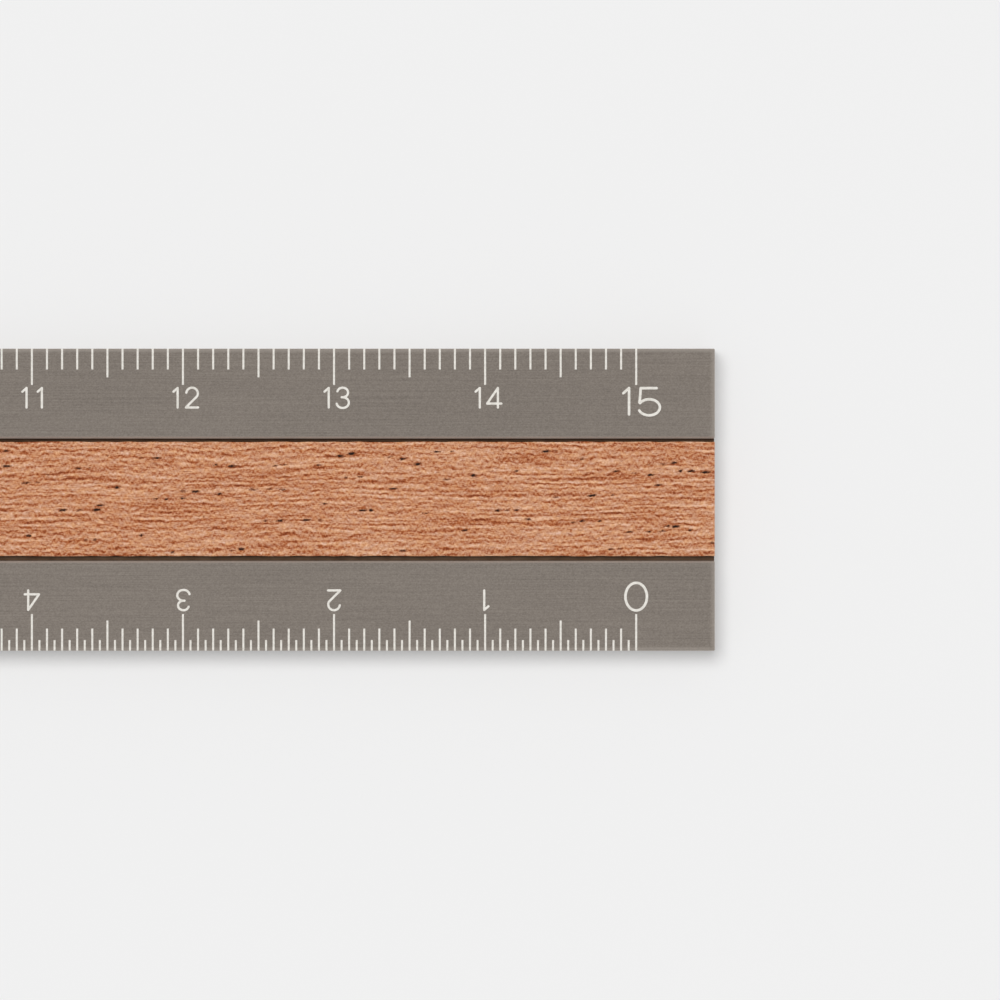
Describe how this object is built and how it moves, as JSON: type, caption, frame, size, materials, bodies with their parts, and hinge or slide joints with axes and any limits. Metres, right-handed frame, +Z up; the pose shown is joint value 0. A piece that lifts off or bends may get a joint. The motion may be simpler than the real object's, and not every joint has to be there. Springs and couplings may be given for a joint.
{
  "type": "ruler with a wood inlay",
  "caption": "Flat 15 cm desk ruler: an anodised aluminium bar with a wood strip inlaid along its top face, and a metric scale on each long edge.",
  "frame": {"origin": "middle of the underside, which is the face the ruler lies on", "axes": "+X along the ruler towards the 15 cm end of the 1 mm scale, +Y across it towards the edge with the 1 mm scale, +Z up out of the wood and the scales"},
  "size_m": [0.1604, 0.02, 0.003],
  "materials": {
    "anodised_aluminium": "satin, warm grey anodising over a fine lengthwise brushed grain",
    "natural_wood": "sanded and unvarnished, reddish brown, with open pores and short dark fibres along the length",
    "bonding_film": "dull, dark brown",
    "scale_marking": "matt creamy white"
  },
  "bodies": {
    "root": {"aluminium_bar": "anodised_aluminium", "bonding_film": "bonding_film", "wood_strip": "natural_wood"}
  },
  "joints": []
}
